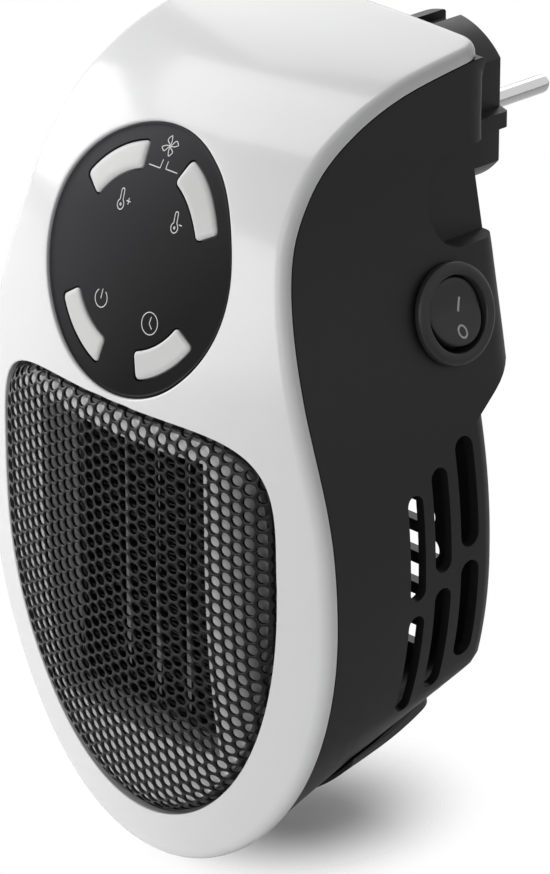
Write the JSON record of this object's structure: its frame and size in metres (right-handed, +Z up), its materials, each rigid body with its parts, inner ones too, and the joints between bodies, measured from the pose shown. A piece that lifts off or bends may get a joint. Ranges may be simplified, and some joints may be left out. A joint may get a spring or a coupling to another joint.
{
  "type": "electric heater",
  "caption": "Plug-in fan heater: glossy white front, black rear housing, perforated outlet grille, round control panel, side rocker switch and mains plug on the back.",
  "frame": {"origin": "centre of the plug's end face, between the two pins", "axes": "+Z up along the body, +Y out of the plug's end face into the wall socket, +X to the right as seen from the front"},
  "size_m": [0.1054, 0.1208, 0.1793],
  "materials": {
    "white_shell": "glossy white",
    "black_housing": "fine matt texture",
    "black_rubber": "matt",
    "grille_metal": "satin black over perforated sheet",
    "black_panel": "matt with printed symbols",
    "white_button": "satin off-white",
    "green_board": "circuit board",
    "black_component": "moulded",
    "light_duct": "heat-resistant, pale",
    "black_frame": "heat-resistant, black",
    "fin_aluminium": "folded sheet",
    "strip_aluminium": "bright",
    "steel": "zinc plated",
    "motor_steel": "drawn can",
    "chrome_pin": "polished plating",
    "rocker_black": "glossy",
    "plug_black": "matt",
    "terminal_brass": "stamped"
  },
  "bodies": {
    "heater_body": {"air_duct": "light_duct", "control_board": "green_board", "control_panel": "black_panel", "fan_motor": "motor_steel", "fan_shroud": "light_duct", "fin_block_1": "fin_aluminium", "fin_block_2": "fin_aluminium", "fin_block_3": "fin_aluminium", "fin_block_4": "fin_aluminium", "front_shell": "white_shell", "grille_frame": "black_frame", "heater_frame": "black_frame", "heater_plate": "light_duct", "heating_strip_1": "strip_aluminium", "heating_strip_2": "strip_aluminium", "heating_strip_3": "strip_aluminium", "housing_screw_left": "steel", "housing_screw_right": "steel", "motor_bracket": "light_duct", "outlet_grille": "grille_metal", "outlet_surround": "light_duct", "plug_body": "plug_black", "plug_clamp": "black_component", "plug_pin_left": "chrome_pin", "plug_pin_right": "chrome_pin", "power_board": "green_board", "power_capacitor": "black_component", "power_relay": "black_component", "rear_housing": "black_housing", "switch_body": "rocker_black", "switch_terminal_1": "terminal_brass", "switch_terminal_2": "terminal_brass", "tact_switch_power": "black_component", "tact_switch_temp_down": "black_component", "tact_switch_temp_up": "black_component", "tact_switch_timer": "black_component", "terminal_block": "black_component", "thermal_cutout": "steel", "underside_pad": "black_rubber"},
    "fan": {"fan_rotor": "black_frame", "motor_shaft": "steel"},
    "rocker": {"switch_rocker": "rocker_black"},
    "power_key": {"button_power": "white_button"},
    "timer_key": {"button_timer": "white_button"},
    "temp_up_key": {"button_temp_up": "white_button"},
    "temp_down_key": {"button_temp_down": "white_button"}
  },
  "joints": [
    {"name": "fan_spin", "type": "hinge", "parent": "heater_body", "child": "fan", "pos_m": [0, -0.0765, -0.0868], "axis": [0, 1, 0], "continuous": true},
    {"name": "rocker_switch", "type": "hinge", "parent": "heater_body", "child": "rocker", "pos_m": [0.04089, -0.0441, -0.02664], "axis": [0, 1, 0], "range_deg": [0, 14]},
    {"name": "power_press", "type": "slide", "parent": "heater_body", "child": "power_key", "axis": [0, 0.9439, -0.3303], "range_m": [0, 0.0006], "stiffness_N_per_m": 500},
    {"name": "timer_press", "type": "slide", "parent": "heater_body", "child": "timer_key", "axis": [0, 0.9439, -0.3303], "range_m": [0, 0.0006], "stiffness_N_per_m": 500},
    {"name": "temp_up_press", "type": "slide", "parent": "heater_body", "child": "temp_up_key", "axis": [0, 0.9439, -0.3303], "range_m": [0, 0.0006], "stiffness_N_per_m": 500},
    {"name": "temp_down_press", "type": "slide", "parent": "heater_body", "child": "temp_down_key", "axis": [0, 0.9439, -0.3303], "range_m": [0, 0.0006], "stiffness_N_per_m": 500}
  ]
}
